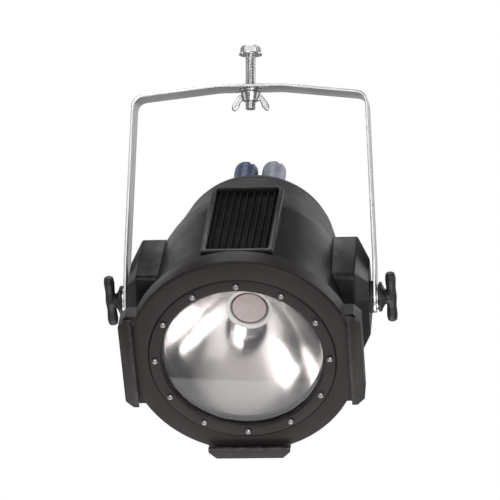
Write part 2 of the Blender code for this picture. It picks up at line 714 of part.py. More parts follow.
def build_panel(looks, lamp):
    low, high = REAR_S - PANEL_T, REAR_S
    panel = turned(
        "rear_panel", [(low, 0), (low, PANEL_R), (high, PANEL_R), (high, 0)], looks["black_cast"], lamp
    )
    holes = bmesh.new()
    for x, z, _, _ in CONNECTORS.values():
        add_bmesh(holes, prism_bmesh(circle(11.3 * MM, SMALL, (x, z)), low - MM, high + MM))
    for x in BUTTON_X:
        add_bmesh(holes, prism_bmesh(circle(3.9 * MM, 12, (x, BUTTON_Z)), low - MM, high + MM))
    add_bmesh(holes, prism_bmesh(rectangle(19 * MM, 6 * MM, (0, DISPLAY_Z)), low - MM, high + MM))
    add_bmesh(holes, prism_bmesh(circle(2.8 * MM, 12, EYELET), low - MM, high + MM))
    cut(panel, holes)

    outer = high + GAP
    for name, (x, z, length, look) in CONNECTORS.items():
        inner = REAR_S - 11 * MM
        socket = [
            (inner, 0), (inner, 11 * MM), (outer, 11 * MM), (outer, 12.6 * MM), (outer + 2.5 * MM, 12.6 * MM),
            (outer + 3 * MM, 11.8 * MM), (outer + length, 11.4 * MM), (outer + length, 9.2 * MM),
            (outer + length - 3.4 * MM, 9.2 * MM), (outer + length - 3.4 * MM, 0),
        ]
        made = turned(name, socket, looks[look], lamp, facets=SMALL)
        made.location = (x, 0, z)
    display = prism(
        "display_module", rounded_rectangle(22 * MM, 8.5 * MM, 1.5 * MM, (0, DISPLAY_Z)), outer, outer + 1.6 * MM,
        looks["screen"], lamp,
    )
    join(display, prism_bmesh(rectangle(18.5 * MM, 5.5 * MM, (0, DISPLAY_Z)), 203 * MM, outer + 0.5 * MM))
    stop = low - GAP
    cap = [
        (stop - 6 * MM, 0), (stop - 6 * MM, 1.5 * MM), (stop - 1.5 * MM, 1.5 * MM), (stop - 1.5 * MM, 4.6 * MM),
        (stop, 4.6 * MM), (stop, 3.5 * MM), (high + 2.6 * MM, 3.5 * MM), (high + 3.2 * MM, 2.8 * MM),
        (high + 3.2 * MM, 0),
    ]
    source = turned("button_source", cap, looks["grey_plastic"], None, facets=12)
    for number, x in enumerate(BUTTON_X, 1):
        button = copy_of(source, f"menu_button_{number}", lamp)
        button.location = (x, 0, BUTTON_Z)
    bpy.data.objects.remove(source)
    build_eyelet(looks, lamp, outer)


def build_eyelet(looks, lamp, outer):
    """Ring bolt for the safety cable, with its hole along X."""
    x, z = EYELET
    frame = empty("eyelet_frame", lamp, (x, 0, z))
    base = [
        (REAR_S - 10 * MM, 0), (REAR_S - 10 * MM, 2.4 * MM), (outer, 2.4 * MM), (outer, 5 * MM),
        (outer + 2 * MM, 5 * MM), (outer + 3 * MM, 2.4 * MM), (outer + 5 * MM, 2.4 * MM), (outer + 5 * MM, 0),
    ]
    eyelet = turned("safety_eyelet", base, looks["bare_steel"], frame, facets=12)
    centre, radius, wire = outer + 11 * MM, 7.2 * MM, 2 * MM
    section = [2 * math.pi * (i + 0.5) / 8 for i in range(8)]
    loop = turned_bmesh([(wire * math.sin(a), radius + wire * math.cos(a)) for a in section], "X", 20)
    loop.transform(Matrix.Translation((0, centre, 0)))
    join(eyelet, loop)


# --------------------------------------------------------------------------- assembly


def main():
    clear_scene()
    looks = make_materials()
    row = empty("row_origin")
    build_hanger(looks, row)
    yoke_frame = empty("yoke_pan", row)
    build_yoke(looks, yoke_frame)
    head = empty("head_tilt", yoke_frame, (0, 0, -PIVOT_DROP), (TILT, 0, 0))
    lamp = empty("lamp_axis", head, (0, -PIVOT_S, 0))
    build_pivots(looks, head)
    build_front(looks, lamp)
    build_optics(looks, lamp)
    build_housing(looks, lamp)


main()
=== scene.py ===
"""Looks of the COB par can light: fine meshes, materials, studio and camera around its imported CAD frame.

Lengths are in metres, and MM turns millimetres into metres. The head's pieces are built along the lamp's own
axis and placed by LAMP: Y, also called s, is the distance behind the front ring's face, X points right, Z up.
"""

import json
import math

import bmesh
import bpy
from mathutils import Matrix, Vector


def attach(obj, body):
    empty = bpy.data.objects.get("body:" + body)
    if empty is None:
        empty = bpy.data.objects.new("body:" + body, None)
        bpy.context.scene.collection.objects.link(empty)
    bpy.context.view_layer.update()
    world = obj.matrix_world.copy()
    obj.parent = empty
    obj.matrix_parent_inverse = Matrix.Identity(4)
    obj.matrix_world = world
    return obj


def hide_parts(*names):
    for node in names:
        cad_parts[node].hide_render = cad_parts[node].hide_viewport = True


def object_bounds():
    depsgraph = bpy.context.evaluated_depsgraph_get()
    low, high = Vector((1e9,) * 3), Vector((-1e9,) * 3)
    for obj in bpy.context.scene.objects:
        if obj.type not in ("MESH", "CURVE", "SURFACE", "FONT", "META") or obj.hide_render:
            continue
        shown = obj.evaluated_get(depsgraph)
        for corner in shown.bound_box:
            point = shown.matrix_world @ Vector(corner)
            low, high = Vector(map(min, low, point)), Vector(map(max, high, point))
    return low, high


MM = 0.001
GAP = 0.3 * MM

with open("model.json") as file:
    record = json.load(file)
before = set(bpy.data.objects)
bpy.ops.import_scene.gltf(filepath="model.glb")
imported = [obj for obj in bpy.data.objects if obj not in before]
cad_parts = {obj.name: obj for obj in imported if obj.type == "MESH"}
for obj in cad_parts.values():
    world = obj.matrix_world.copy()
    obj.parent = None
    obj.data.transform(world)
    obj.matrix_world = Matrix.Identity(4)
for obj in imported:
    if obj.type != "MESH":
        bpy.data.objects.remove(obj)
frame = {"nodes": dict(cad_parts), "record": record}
cad_low, cad_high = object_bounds()

# Frames of the CAD model. The hanging bolt, the yoke and the wing nut lie in the ROOM frame.
TILT = math.radians(42)  # how far the head points below the horizontal
PIVOT_S = 99 * MM  # the pivots' distance behind the ring's face
PIVOT_DROP = 202 * MM  # the pivots' depth below the yoke's top
HEAD = Matrix.Translation((0, 0, -PIVOT_DROP)) @ Matrix.Rotation(TILT, 4, "X")
LAMP = HEAD @ Matrix.Translation((0, -PIVOT_S, 0))
ROOM = Matrix.Identity(4)
PIVOTS = {"right": HEAD, "left": HEAD @ Matrix.Rotation(math.pi, 4, "Z")}

# Facets of turned pieces, by size
ROUND = 160
MEDIUM = 64
BORE = 48
SMALL = 32

SHARP_ANGLE = math.radians(35)  # edges that turn more than this stay crisp

# Dimensions that several pieces share, as in the CAD
BOLT_R, BOLT_PITCH, BOLT_THREAD = 4.8 * MM, 1.5 * MM, 0.55 * MM
STUD_R, STUD_PITCH, STUD_THREAD = 3.9 * MM, 1.25 * MM, 0.5 * MM
STUD_BORE_R = 4.2 * MM
YOKE_REACH = 118 * MM  # from the middle to the outer face of a yoke arm
BOSS_FACE = 112 * MM  # from the middle to the outer face of a pivot boss
SCREW_COUNT, SCREW_CIRCLE_R, SCREW_BORE_R = 12, 80 * MM, 1.8 * MM
BOWL_FRONT, BOWL_REAR = 12 * MM, 80.7 * MM
BOWL_MOUTH_R, BOWL_NECK_R, BOWL_WALL = 71.2 * MM, 21.5 * MM, 1.4 * MM
COB_R, DAM_R = 17.5 * MM, 15.9 * MM  # the emitter, and the resin inside its dam
FRAME_FRONT, FRAME_REAR = 24 * MM, 157 * MM  # the raised frame on top, along the head
WINDOW_FRONT, WINDOW_REAR, FRAME_WALL = 30 * MM, 151 * MM, 5 * MM  # the opening in it
SHELL_END = 196 * MM  # where the rear end meets the shell
REAR_FACE = 212 * MM


# --------------------------------------------------------------------------- shape helpers


def mm(*points):
    """Points whose numbers are in millimetres, in metres."""
    return [tuple(value * MM for value in point) for point in points]


def rounded(points, closed=True, steps=4):
    """Outline with filleted corners. A point is (a, b) or (a, b, radius)."""
    made = []
    count = len(points)
    for i, point in enumerate(points):
        here = Vector(point[:2])
        if len(point) < 3 or (not closed and i in (0, count - 1)):
            made.append(here)
            continue
        back = Vector(points[i - 1][:2]) - here
        ahead = Vector(points[(i + 1) % count][:2]) - here
        half = back.angle(ahead) / 2
        reach = min(point[2] / math.tan(half), 0.49 * back.length, 0.49 * ahead.length)
        start, end = here + back.normalized() * reach, here + ahead.normalized() * reach
        for k in range(steps + 1):
            t = k / steps
            made.append(start.lerp(here, t).lerp(here.lerp(end, t), t))
    return made


def subdivided(points, step):
    """An open line with points no more than about two steps apart."""
    fine = []
    for a, b in zip(points, points[1:]):
        count = max(1, int((b - a).length / step))
        fine += [a.lerp(b, i / count) for i in range(count)]
    return fine + [points[-1]]


def offset(outline, distance):
    """A closed outline moved to its left-hand side, which is inwards if it runs anticlockwise."""
    moved = []
    count = len(outline)
    for i, point in enumerate(outline):
        before = (point - outline[i - 1]).normalized()
        after = (outline[(i + 1) % count] - point).normalized()
        first = Vector((-before.y, before.x))
        mitre = (first + Vector((-after.y, after.x))).normalized()
        moved.append(point + mitre * (distance / max(mitre.dot(first), 0.3)))
    return moved


def quarter_turn(steps):
    """Angles from 0 to a right angle, both included."""
    return [math.pi / 2 * k / steps for k in range(steps + 1)]


def on_axis(axis):
    """Function that places (across, up, along) for an axis."""
    return {
        "X": lambda a, b, d: Vector((d, a, b)),
        "Y": lambda a, b, d: Vector((b, d, a)),
        "Z": lambda a, b, d: Vector((a, b, d)),
    }[axis]


def loft(rings, caps=True, loop=False):
    """Skins rings of equal length. A ring of one point closes to a tip."""
    bm = bmesh.new()
    rows = [[bm.verts.new(p) for p in ring] for ring in rings]
    pairs = list(zip(rows, rows[1:]))
    if loop:
        pairs.append((rows[-1], rows[0]))
    for first, last in pairs:
        count = max(len(first), len(last))
        for i in range(count):
            j = (i + 1) % count
            if len(first) == 1:
                bm.faces.new((first[0], last[j], last[i]))
            elif len(last) == 1:
                bm.faces.new((first[i], first[j], last[0]))
            else:
                bm.faces.new((first[i], first[j], last[j], last[i]))
    if caps and not loop:
        for ring in (rows[0], rows[-1]):
            if len(ring) > 2:
                bm.faces.new(ring)
    bmesh.ops.recalc_face_normals(bm, faces=bm.faces)
    return bm


def turned(profile, axis="Y", facets=ROUND):
    """Turns an (along, radius) outline about the axis. Off the axis it closes on itself."""
    place = on_axis(axis)
    rings = []
    for along, radius in profile:
        if radius < 1e-7:
            rings.append([place(0, 0, along)])
        else:
            turns = [2 * math.pi * i / facets for i in range(facets)]
            rings.append([place(radius * math.cos(t), radius * math.sin(t), along) for t in turns])
    hollow = len(rings[0]) > 1 or len(rings[-1]) > 1
    return loft(rings, caps=False, loop=hollow)


def prism(outline, start, end, axis="Y", edge=0.0):
    """A flat outline, anticlockwise in (across, up), carried along an axis with rounded rims."""
    place = {
        "X": lambda p, d: Vector((d, p.x, p.y)),
        "Y": lambda p, d: Vector((p.x, d, p.y)),
        "Z": lambda p, d: Vector((p.x, p.y, d)),
    }[axis]
    outline = [Vector(p) for p in outline]
    levels = [(start, 0), (end, 0)]
    if edge:
        turns = quarter_turn(3)
        near = [(start + edge * (1 - math.cos(t)), edge * (1 - math.sin(t))) for t in turns]
        levels = near + [(start + end - d, inset) for d, inset in reversed(near)]
    return loft([[place(p, d) for p in offset(outline, inset)] for d, inset in levels])


def circle(radius, facets, centre=(0, 0)):
    step = 2 * math.pi / facets
    a, b = centre
    return [Vector((a + radius * math.cos(i * step), b + radius * math.sin(i * step))) for i in range(facets)]


def box_outline(half_a, half_b, radius=0.0, centre=(0, 0)):
    a, b = centre
    corners = [(half_a, half_b), (-half_a, half_b), (-half_a, -half_b), (half_a, -half_b)]
    return rounded([(a + p, b + q, radius) if radius else (a + p, b + q) for p, q in corners], steps=5)


def moved(bm, matrix):
    bm.transform(matrix)
    return bm


def together(*parts):
    """Several bmeshes as one, side by side. Frees the rest."""
    target = parts[0]
    for part in parts[1:]:
        helper = bpy.data.meshes.new("helper")
        part.to_mesh(helper)
        part.free()
        target.from_mesh(helper)
        bpy.data.meshes.remove(helper)
    return target


def temporary(bm):
    mesh = bpy.data.meshes.new("temporary")
    bm.to_mesh(mesh)
    bm.free()
    obj = bpy.data.objects.new("temporary", mesh)
    bpy.context.scene.collection.objects.link(obj)
    return obj


def evaluated(obj, *helpers):
    """The object's mesh with its modifiers applied, as a bmesh. Removes the objects."""
    graph = bpy.context.evaluated_depsgraph_get()
    graph.update()
    mesh = bpy.data.meshes.new_from_object(obj.evaluated_get(graph))
    bm = bmesh.new()
    bm.from_mesh(mesh)
    bpy.data.meshes.remove(mesh)
    for done in (obj, *helpers):
        old = done.data
        bpy.data.objects.remove(done)
        bpy.data.meshes.remove(old)
    return bm


def boolean(first, second, operation):
    a, b = temporary(first), temporary(second)
    modifier = a.modifiers.new("boolean", "BOOLEAN")
    modifier.operation = operation
    modifier.object = b
    modifier.solver = "EXACT"
    return evaluated(a, b)


def cut(first, second):
    return boolean(first, second, "DIFFERENCE")


def join(first, second):
    return boolean(first, second, "UNION")


def fused(bm, voxel, rounds):
    """One moulded skin round everything in bm, with soft inner corners."""
    obj = temporary(bm)
    remesh = obj.modifiers.new("remesh", "REMESH")
    remesh.mode = "VOXEL"
    remesh.voxel_size = voxel
    smooth = obj.modifiers.new("smooth", "SMOOTH")
    smooth.factor = 0.5
    smooth.iterations = rounds
    return evaluated(obj)


def threaded(start, end, radius, pitch, depth, axis, facets, tip=0.8 * MM):
    """A rod with a helical thread and a chamfer of the tip's length at its start."""
    place = on_axis(axis)
    rows_per_turn = 6
    rows = int(abs(end - start) / (pitch / rows_per_turn))
    rings = [[place(0, 0, start)]]
    for k in range(rows + 1):
        along = start + (end - start) * k / rows
        limit = radius - max(0.0, tip - abs(along - start))
        ring = []
        for i in range(facets):
            turn = 2 * math.pi * i / facets
            phase = (along / pitch - i / facets) % 1.0
            flank = min(1.0, max(0.0, abs(phase - 0.5) * 2.6 - 0.5))
            r = min(limit, radius - depth * flank)
            ring.append(place(r * math.cos(turn), r * math.sin(turn), along))
        rings.append(ring)
    rings.append([place(0, 0, end)])
    return loft(rings, caps=False)


# --------------------------------------------------------------------------- materials


class Look:
    """A Principled material with a few helpers for its nodes."""

    def __init__(self, name, colour, roughness, metallic=0.0, **sockets):
        self.made = bpy.data.materials.new(name)
        self.made.use_nodes = True
        self.tree = self.made.node_tree
        self.shader = self.tree.nodes["Principled BSDF"]
        plain = {"Base Color": (*colour, 1), "Roughness": roughness, "Metallic": metallic}
        plain.update({name.replace("_", " "): value for name, value in sockets.items()})
        for name, value in plain.items():
            self.shader.inputs[name].default_value = value
        self.normal = None
        self.place = self.node("ShaderNodeTexCoord").outputs["Object"]

    def feed(self, socket, value):
        """Links another node's output into a socket, or sets the socket to a plain value."""
        if isinstance(value, bpy.types.NodeSocket):
            self.tree.links.new(value, socket)
        else:
            socket.default_value = value

    def node(self, kind, inputs=(), **settings):
        made = self.tree.nodes.new(kind)
        for name, value in settings.items():
            setattr(made, name, value)
        for name, value in dict(inputs).items():
            self.feed(made.inputs[name], value)
        return made

    def link(self, output, socket):
        self.tree.links.new(output, self.shader.inputs[socket])

    def stretched(self, scale):
        return self.node("ShaderNodeMapping", {"Vector": self.place, "Scale": scale}).outputs[0]

    def noise(self, scale, detail=2.0, source=None, roughness=0.5):
        inputs = {"Vector": source or self.place, "Scale": scale, "Detail": detail, "Roughness": roughness}
        return self.node("ShaderNodeTexNoise", inputs).outputs["Fac"]

    def cells(self, scale, feature="F1"):
        inputs = {"Vector": self.place, "Scale": scale}
        return self.node("ShaderNodeTexVoronoi", inputs, feature=feature).outputs["Distance"]

    def ranged(self, value, low, high, to_low=0.0, to_high=1.0):
        inputs = {"Value": value, "From Min": low, "From Max": high, "To Min": to_low, "To Max": to_high}
        return self.node("ShaderNodeMapRange", inputs).outputs[0]

    def math(self, operation, first, second):
        return self.node("ShaderNodeMath", {0: first, 1: second}, operation=operation).outputs[0]

    def axis_distance(self):
        """Distance from the lamp's axis, for pieces whose own Y lies on it."""
        across = self.node("ShaderNodeVectorMath", {0: self.place, 1: (1, 0, 1)}, operation="MULTIPLY")
        return self.node("ShaderNodeVectorMath", {0: across.outputs[0]}, operation="LENGTH").outputs["Value"]

    def mix(self, share, first, second):
        """Mixes two colours. The sockets go by number, because those of the other types share their names."""
        made = self.node("ShaderNodeMix", data_type="RGBA")
        for index, value in ((0, share), (6, first), (7, second)):
            self.feed(made.inputs[index], (*value, 1) if isinstance(value, tuple) else value)
        return made.outputs[2]

    def bump(self, height, strength, distance):
        inputs = {"Height": height, "Strength": strength, "Distance": distance}
        if self.normal is not None:
            inputs["Normal"] = self.normal
        self.normal = self.node("ShaderNodeBump", inputs).outputs[0]
        self.link(self.normal, "Normal")


def worn(look, base, edge, share):
    """Base colour with lighter, rubbed edges broken up by noise."""
    pointed = look.node("ShaderNodeNewGeometry").outputs["Pointiness"]
    rubbed = look.ranged(pointed, 0.53, 0.6)
    broken = look.ranged(look.noise(160, 4), 0.42, 0.62, 0.15, 1.0)
    mask = look.math("MULTIPLY", look.math("MULTIPLY", rubbed, broken), share)
    return look.mix(mask, base, edge)


POWDER_GLOSS = 0.24
RUBBED_POWDER = (0.1, 0.1, 0.1)


def scaled(colour, factor, lift=0.0):
    return tuple(min(1.0, c * factor + lift) for c in colour)


def powder_coat(name, colour, roughness, grain=1100, bump=0.22):
    """Fine-grained powder coat, faintly clouded and smeared, with rubbed edges."""
    look = Look(name, colour, roughness, Specular_IOR_Level=POWDER_GLOSS)
    cloud = look.noise(14, 3)
    fine = look.noise(grain, 2)
    base = look.mix(look.ranged(cloud, 0.35, 0.7), colour, scaled(colour, 1.5, 0.001))
    look.link(worn(look, base, RUBBED_POWDER, 0.5), "Base Color")
    smear = look.ranged(look.noise(38, 5), 0.3, 0.7, roughness - 0.06, roughness + 0.1)
    look.link(look.math("ADD", smear, look.ranged(fine, 0.3, 0.7, -0.04, 0.04)), "Roughness")
    look.bump(fine, bump, 0.00012)
    look.bump(look.noise(grain / 5, 2), bump * 0.5, 0.0003)
    return look.made


def moulded(name, colour, roughness, grain=2200, bump=0.15, gloss=0.45):
    """Moulded plastic with a fine spark-eroded grain."""
    look = Look(name, colour, roughness, Specular_IOR_Level=gloss)
    base = look.mix(look.ranged(look.noise(60, 3), 0.35, 0.7), colour, scaled(colour, 1.35, 0.006))
    look.link(worn(look, base, scaled(colour, 2, 0.05), 0.35), "Base Color")
    look.link(look.ranged(look.noise(90, 4), 0.3, 0.7, roughness - 0.06, roughness + 0.08), "Roughness")
    look.bump(look.cells(grain), bump, 0.00008)
    return look.made


def plated(name, colour, roughness, grain=420):
    """Zinc-plated steel with fine handling marks."""
    look = Look(name, colour, roughness, 1.0)
    look.link(look.mix(look.ranged(look.noise(120, 4), 0.3, 0.7), scaled(colour, 0.8), colour), "Base Color")
    look.link(look.ranged(look.noise(grain, 3), 0.3, 0.75, roughness - 0.07, roughness + 0.12), "Roughness")
    look.bump(look.noise(grain * 3, 2), 0.08, 0.0001)
    return look.made


def brushed(name, colour, roughness):
    """Flat bar brushed along its length, which runs in the X-Z plane."""
    look = Look(name, colour, roughness, 1.0)
    lines = look.noise(1, 3, look.stretched((14, 1500, 14)), 0.6)
    wide = look.noise(1, 2, look.stretched((5, 260, 5)))
    smudge = look.noise(22, 4)
    look.link(look.mix(look.ranged(smudge, 0.35, 0.7), colour, scaled(colour, 0.82)), "Base Color")
    rough = look.ranged(lines, 0.3, 0.7, roughness - 0.08, roughness + 0.1)
    look.link(look.math("ADD", rough, look.ranged(smudge, 0.4, 0.7, 0.0, 0.09)), "Roughness")
    look.bump(lines, 0.2, 0.00006)
    look.bump(wide, 0.1, 0.00015)
    return look.made


def polished(name, colour, roughness):
    """Spun and polished reflector bowl: fine rings about the lamp's axis and a faint orange peel."""
    look = Look(name, colour, roughness, 1.0)
    rings = look.node("ShaderNodeCombineXYZ", {"X": look.axis_distance()})
    spun = look.noise(900, 2, rings.outputs[0])
    look.link(look.ranged(look.noise(30, 3), 0.3, 0.7, roughness - 0.02, roughness + 0.03), "Roughness")
    look.link(look.mix(look.ranged(look.noise(18, 3), 0.35, 0.7), colour, scaled(colour, 0.95)), "Base Color")
    look.bump(spun, 0.05, 0.00005)
    look.bump(look.noise(220, 1), 0.03, 0.0002)
    return look.made


GLASS_TINT, GLASS_IOR, GLASS_ROUGHNESS = (0.985, 0.975, 0.975, 1), 1.45, 0.015


def pane(name):
    """Thin clear glass: see-through, with the gloss of its two faces."""
    made = bpy.data.materials.new(name)
    made.use_nodes = True
    tree = made.node_tree
    tree.nodes.clear()
    out = tree.nodes.new("ShaderNodeOutputMaterial")
    mix = tree.nodes.new("ShaderNodeMixShader")
    clear = tree.nodes.new("ShaderNodeBsdfTransparent")
    clear.inputs["Color"].default_value = GLASS_TINT
    gloss = tree.nodes.new("ShaderNodeBsdfPrincipled")
    gloss.inputs["Base Color"].default_value = (1, 1, 1, 1)
    gloss.inputs["Metallic"].default_value = 1.0
    gloss.inputs["Roughness"].default_value = GLASS_ROUGHNESS
    fresnel = tree.nodes.new("ShaderNodeFresnel")
    fresnel.inputs["IOR"].default_value = GLASS_IOR
    tree.links.new(fresnel.outputs[0], mix.inputs[0])
    tree.links.new(clear.outputs[0], mix.inputs[1])
    tree.links.new(gloss.outputs[0], mix.inputs[2])
    tree.links.new(mix.outputs[0], out.inputs[0])
    return made


def emitter(name):
    """Phosphor over the chips: a soft resin with a faint grid of dies under it, and painted shade on its sloping
    rim where it meets the holder ring.
    """
    look = Look(name, (0.6, 0.52, 0.5), 0.35, Coat_Weight=0.5, Coat_Roughness=0.12)
    resin = look.mix(look.ranged(look.cells(520), 0.1, 0.6), (0.52, 0.44, 0.43), (0.64, 0.56, 0.55))
    # Painted shade: the sloping rim from DAM_R out to COB_R is darkened to stand for the shadow in the gap to
    # the holder ring
    painted_rim_shade = look.ranged(look.axis_distance(), DAM_R - 0.5 * MM, DAM_R)
    look.link(look.mix(painted_rim_shade, resin, (0.1, 0.075, 0.07)), "Base Color")
    look.bump(look.noise(700, 2), 0.08, 0.0001)
    return look.made


def board(name):
    """Lacquered circuit board with copper tracks under the green."""
    look = Look(name, (0.02, 0.14, 0.06), 0.4, Coat_Weight=0.4, Coat_Roughness=0.15)
    tracks = look.ranged(look.cells(260, feature="DISTANCE_TO_EDGE"), 0.05, 0.09)
    look.link(look.mix(tracks, (0.04, 0.22, 0.1), (0.015, 0.1, 0.045)), "Base Color")
    look.bump(tracks, 0.3, 0.0001)
    return look.made


def glossy_screen(name):
    """Dark display window with faint finger marks in its gloss."""
    look = Look(name, (0.006, 0.008, 0.012), 0.07, Coat_Weight=0.6, Coat_Roughness=0.03)
    look.link(look.ranged(look.noise(70, 4), 0.35, 0.7, 0.05, 0.16), "Roughness")
    return look.made


BLACK = powder_coat("powder_coat_black", (0.0045, 0.0045, 0.005), 0.33)
FIN_BLACK = moulded("matte_black_fins", (0.003, 0.003, 0.0032), 0.62, 1300, 0.3, 0.1)
RING_BLACK = powder_coat("powder_coat_ring", (0.014, 0.01, 0.0095), 0.42, 900, 0.3)
PLASTIC = moulded("moulded_black", (0.01, 0.01, 0.011), 0.42)
STEEL = plated("zinc_steel", (0.72, 0.72, 0.71), 0.24)
SCREW_STEEL = plated("screw_steel", (0.4, 0.385, 0.38), 0.34)
SILVER = brushed("yoke_silver_bar", (0.84, 0.84, 0.83), 0.3)
MIRROR = polished("reflector_mirror", (0.92, 0.905, 0.9), 0.15)
GLASS = pane("front_glass")
PHOSPHOR = emitter("cob_resin")
WHITE = moulded("holder_white", (0.88, 0.86, 0.85), 0.3, 1500, 0.08)
ALUMINIUM = plated("raw_aluminium_metal", (0.6, 0.6, 0.61), 0.36, 260)
BOARD = board("circuit_board_green")
RUBBER = moulded("silicone_dark", (0.03, 0.03, 0.032), 0.7, 1400, 0.25)
BLUE = moulded("connector_blue", (0.035, 0.06, 0.14), 0.42)
GREY = moulded("connector_grey", (0.25, 0.27, 0.33), 0.42)
SCREEN = glossy_screen("menu_screen")

CAD_LOOKS = {
    "black_cast": BLACK,
    "black_plastic": PLASTIC,
    "bare_steel": STEEL,
    "yoke_silver": SILVER,
    "mirror": MIRROR,
    "glass": GLASS,
    "phosphor": PHOSPHOR,
    "white_plastic": WHITE,
    "raw_aluminium": ALUMINIUM,
    "circuit_board": BOARD,
    "silicone": RUBBER,
    "blue_plastic": BLUE,
    "grey_plastic": GREY,
    "screen": SCREEN,
}


def dress_cad():
    """Gives every CAD node that stays the procedural material of its slot."""
    for part in frame["record"]["subparts"]:
        slots = frame["nodes"][part["node"]].data.materials
        slots.clear()
        slots.append(CAD_LOOKS[part["material_slot"]])


def piece(name, bm, place, body, nodes, look):
    """Finishes a fine mesh, sets it on its body and lets it stand for its CAD nodes."""
    bmesh.ops.remove_doubles(bm, verts=bm.verts, dist=1e-6)
    bmesh.ops.recalc_face_normals(bm, faces=bm.faces)
    mesh = bpy.data.meshes.new(name)
    bm.to_mesh(mesh)
    bm.free()
    mesh.shade_smooth()
    mesh.set_sharp_from_angle(angle=SHARP_ANGLE)
    mesh.materials.append(look)
    obj = bpy.data.objects.new(name, mesh)
    bpy.context.scene.collection.objects.link(obj)
    obj.matrix_world = place
    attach(obj, body)
    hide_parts(*nodes)


# --------------------------------------------------------------------------- hanging bolt and yoke


def build_hanger():
    """Hexagon bolt with its two washers, and the wing nut under the yoke."""
    low, high = 32.3, 38.7  # of the bolt's head, in millimetres
    hexagon = prism(circle(9.8 * MM, 6), low * MM, high * MM, "Z")
    crown = mm((low - 1, 0), (low - 1, 9.4), (low + 0.5, 9.9), (high - 1.5, 9.9), (high, 8.3), (high + 0.001, 0))
    head = boolean(hexagon, turned(crown, "Z", MEDIUM), "INTERSECT")
    shank = threaded(-22 * MM, (low + 0.9) * MM, BOLT_R, BOLT_PITCH, BOLT_THREAD, "Z", 40)
    piece("bolt_fine", join(head, shank), ROOM, "hanger", ["hanger_bolt"], STEEL)
    for name, base in (("hanger_washer_top", 30.3 * MM), ("hanger_washer", -5 * MM)):
        washer = turned(ring_profile(base, 1.7 * MM, 5.2 * MM, 11 * MM, 0.35 * MM), "Z", MEDIUM)
        piece(f"{name}_fine", washer, ROOM, "hanger", [name], STEEL)

    top = -5.3  # of the wing nut, in millimetres
    hub = mm((top, 5.2, 0.4), (top - 9, 5.2, 0.4), (top - 9, 7, 1), (top - 1.5, 9, 0.6), (top, 9, 0.5))
    nut = turned(rounded(hub), "Z", MEDIUM)
    for side in (-1, 1):
        wing = rounded(
            mm(
                (side * 6.4, top - 1.5), (side * 10.5, top - 2.6, 3), (side * 15.5, top - 9, 4),
                (side * 17.9, top - 13.5, 2.5), (side * 17.4, top - 17.6, 2), (side * 14.5, top - 18.3, 2),
                (side * 11, top - 14.5, 3), (side * 8.8, top - 8.6, 1), (side * 6.4, top - 8.6),
            )
        )
        if side > 0:
            wing.reverse()
        nut = together(nut, prism(wing, -1.7 * MM, 1.7 * MM, "Y", 1.1 * MM))
    piece("wing_nut_fine", fused(nut, 0.32 * MM, 5), ROOM, "wing_nut", ["wing_nut"], STEEL)


def ring_profile(base, thick, inner, outer, edge):
    end = base + thick
    return rounded([(base, inner, edge), (base, outer, edge), (end, outer, edge), (end, inner, edge)])


def drill(start, end, radius, axis, facets=BORE):
    """A plain cylinder, to cut a bore with."""
    return turned([(start, 0), (start, radius), (end, radius), (end, 0)], axis, facets)


def bar_section(outer, normal, half, thick, edge):
    """Ring of points round a flat bar's section: outer is a point of its outer face, normal points out."""
    edge = min(edge, half * 0.9, thick * 0.45)
    ring = []
    for sign_n, sign_y in ((1, 1), (1, -1), (-1, -1), (-1, 1)):
        centre_y = sign_y * (half - edge)
        centre_n = -edge if sign_n > 0 else -thick + edge
        turns = quarter_turn(3)
        if sign_n * sign_y < 0:
            turns.reverse()
        for turn in turns:
            y = centre_y + sign_y * edge * math.cos(turn)
            n = centre_n + sign_n * edge * math.sin(turn)
            ring.append(Vector((outer.x + normal.x * n, y, outer.y + normal.y * n)))
    return ring


def build_yoke():
    """Flat bar with a crowned top, bent into a U, with rounded feet and three bores."""
    width, thick = 15 * MM, 3 * MM  # half the bar's width, and its thickness
    half = rounded(
        [
            (0, 0), (30 * MM, 0, 90 * MM), (111.5 * MM, -9 * MM, 14 * MM), (YOKE_REACH, -170 * MM, 160 * MM),
            (YOKE_REACH, -PIVOT_DROP),
        ],
        closed=False,
        steps=10,
    )
    stations = [(p, width) for p in subdivided(half, 8 * MM)]
    foot_steps = 14
    for k in range(1, foot_steps + 1):
        turn = math.radians(88) * k / foot_steps
        stations.append((Vector((YOKE_REACH, -PIVOT_DROP - width * math.sin(turn))), width * math.cos(turn)))
    whole = [(Vector((-p.x, p.y)), w) for p, w in reversed(stations[1:])] + stations
    rings = []
    for i, (point, w) in enumerate(whole):
        before, after = whole[max(i - 1, 0)][0], whole[min(i + 1, len(whole) - 1)][0]
        along = (after - before).normalized()
        rings.append(bar_section(point, Vector((-along.y, along.x)), w, thick, 0.9 * MM))
    bar = loft(rings)
    bar = cut(bar, drill(-8 * MM, 4 * MM, 5.3 * MM, "Z"))
    for side in (-1, 1):
        start, end = sorted((side * BOSS_FACE, side * 121 * MM))
        bar = cut(bar, moved(drill(start, end, 4.6 * MM, "X"), Matrix.Translation((0, 0, -PIVOT_DROP))))
    piece("yoke_bar", bar, ROOM, "yoke", ["yoke"], SILVER)


# --------------------------------------------------------------------------- pivots and knobs

# Outside of the shell and the rear end as (s, radius, easing of the kink), in millimetres
SHELL = [
    (20.3, 101, 1), (27, 101, 1.5), (31, 94, 3), (60, 93, 30), (126, 91.6, 40), (141, 88, 40),
    (165, 81, 60), (196, 73.6, 0.01), (205, 70.3, 10), (210, 67, 6), (212, 63.6, 0.8),
]


def shell_r(s):
    for (s0, r0, _), (s1, r1, _) in zip(SHELL, SHELL[1:]):
        if s0 * MM <= s <= s1 * MM:
            return (r0 + (r1 - r0) * (s / MM - s0) / (s1 - s0)) * MM
    return SHELL[-1][1] * MM


